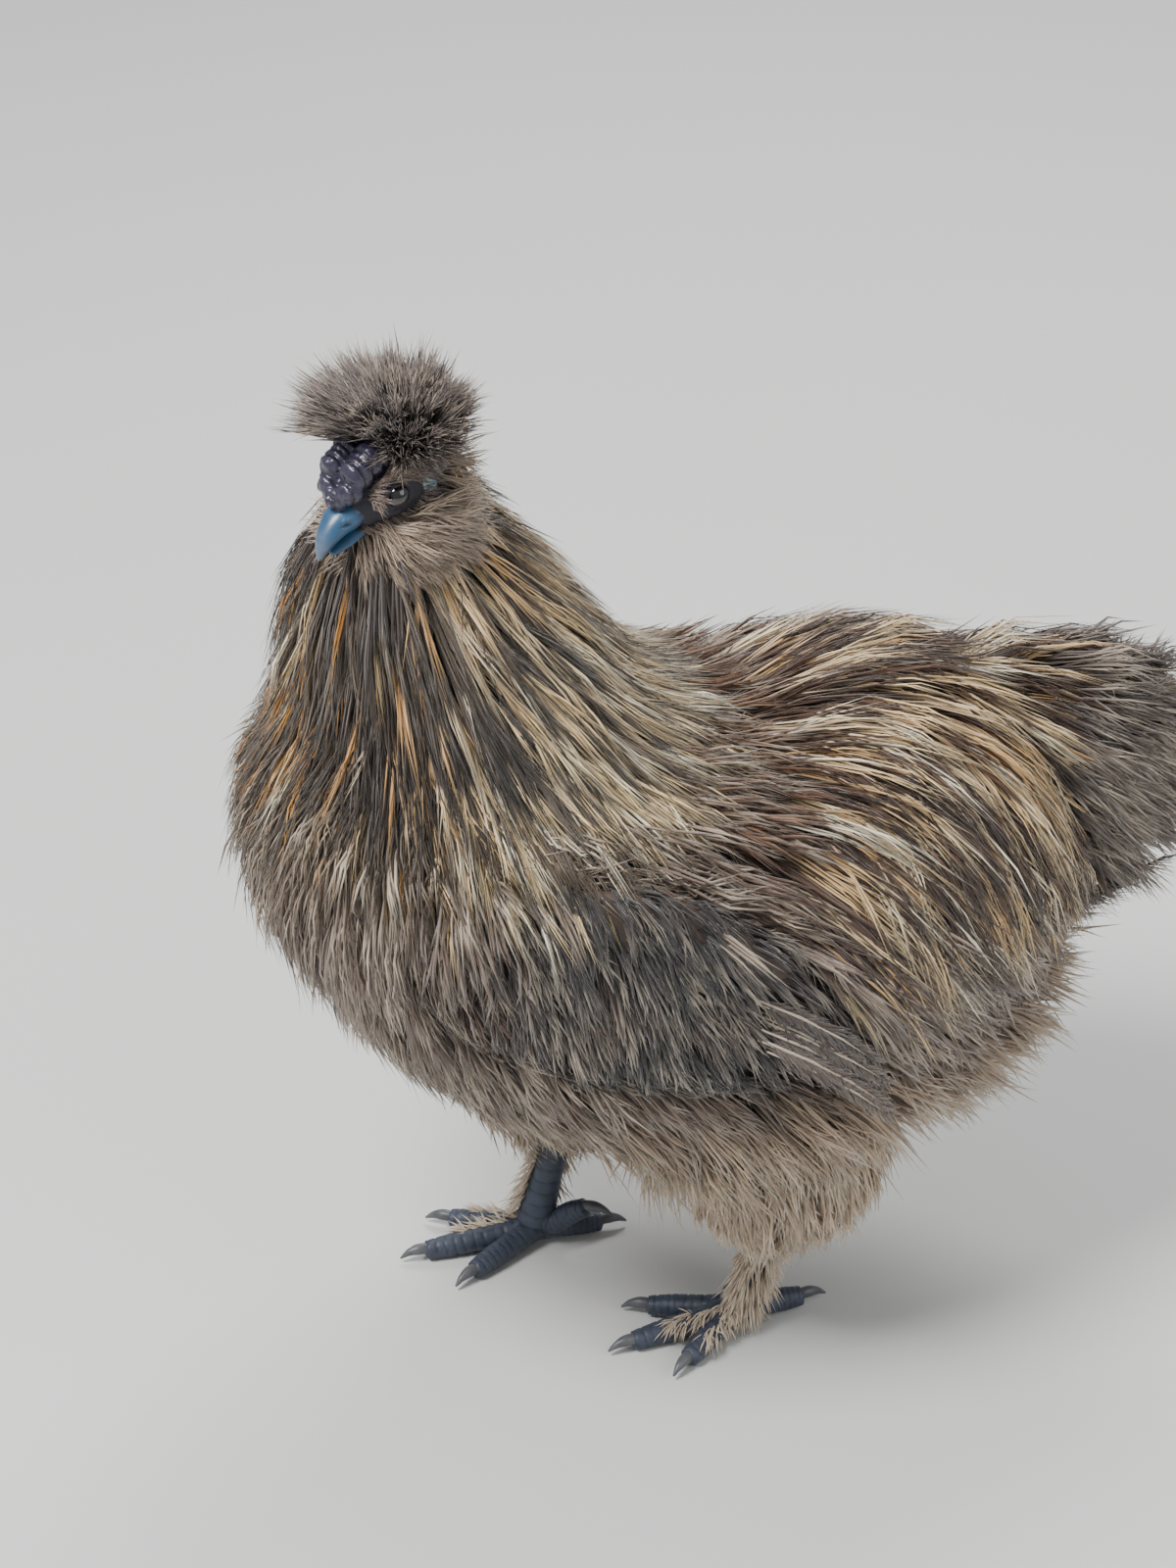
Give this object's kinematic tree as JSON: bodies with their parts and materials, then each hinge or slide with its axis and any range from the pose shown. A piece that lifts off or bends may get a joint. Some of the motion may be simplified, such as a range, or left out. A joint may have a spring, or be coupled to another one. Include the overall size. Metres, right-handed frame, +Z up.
{
  "type": "silkie chicken",
  "caption": "Life-size standing silkie cockerel with walnut comb, crest, long gold hackles, fluffy saddle and tail, folded wings and feathered five-toed feet.",
  "frame": {"origin": "on the floor, under the middle of the bird's bounding box", "axes": "-Y is the way the body faces, +X is the bird's left, +Z is up"},
  "size_m": [0.2322, 0.3696, 0.4121],
  "materials": {
    "beak": "satin lead-blue horn",
    "body": "soft hair-like feathers, grey-brown with pale tips",
    "claw": "grey horn",
    "comb": "lumpy dark mulberry skin, slightly moist",
    "crest": "upright dark crest feathers",
    "eye": "wet and glossy, near black",
    "face": "short grey-brown feathers over dark skin",
    "fluff": "pale grey-brown fluff",
    "hackle": "long narrow hackles, straw and gold with dark centres",
    "leg_skin": "slate blue-black scaled skin",
    "lobe": "smooth pale turquoise ear-lobe skin",
    "saddle": "long soft saddle feathers, brown with cream streaks",
    "tail": "dark loose tail feathers with pale frayed ends",
    "wing": "dark frayed wing feathers"
  },
  "bodies": {
    "root": {"abdomen": "fluff", "beak_lower": "beak", "beak_upper": "beak", "beard": "face", "breast": "body", "claw_fifth_left": "claw", "claw_fifth_right": "claw", "claw_hind_left": "claw", "claw_hind_right": "claw", "claw_inner_left": "claw", "claw_inner_right": "claw", "claw_middle_left": "claw", "claw_middle_right": "claw", "claw_outer_left": "claw", "claw_outer_right": "claw", "comb": "comb", "crest": "crest", "ear_left": "lobe", "ear_right": "lobe", "eye_left": "eye", "eye_right": "eye", "foot_left": "leg_skin", "foot_right": "leg_skin", "head": "face", "leg_left": "leg_skin", "leg_right": "leg_skin", "neck": "hackle", "saddle": "saddle", "tail": "tail", "thigh_left": "fluff", "thigh_right": "fluff", "torso": "body", "wing_left": "wing", "wing_right": "wing"}
  },
  "joints": []
}
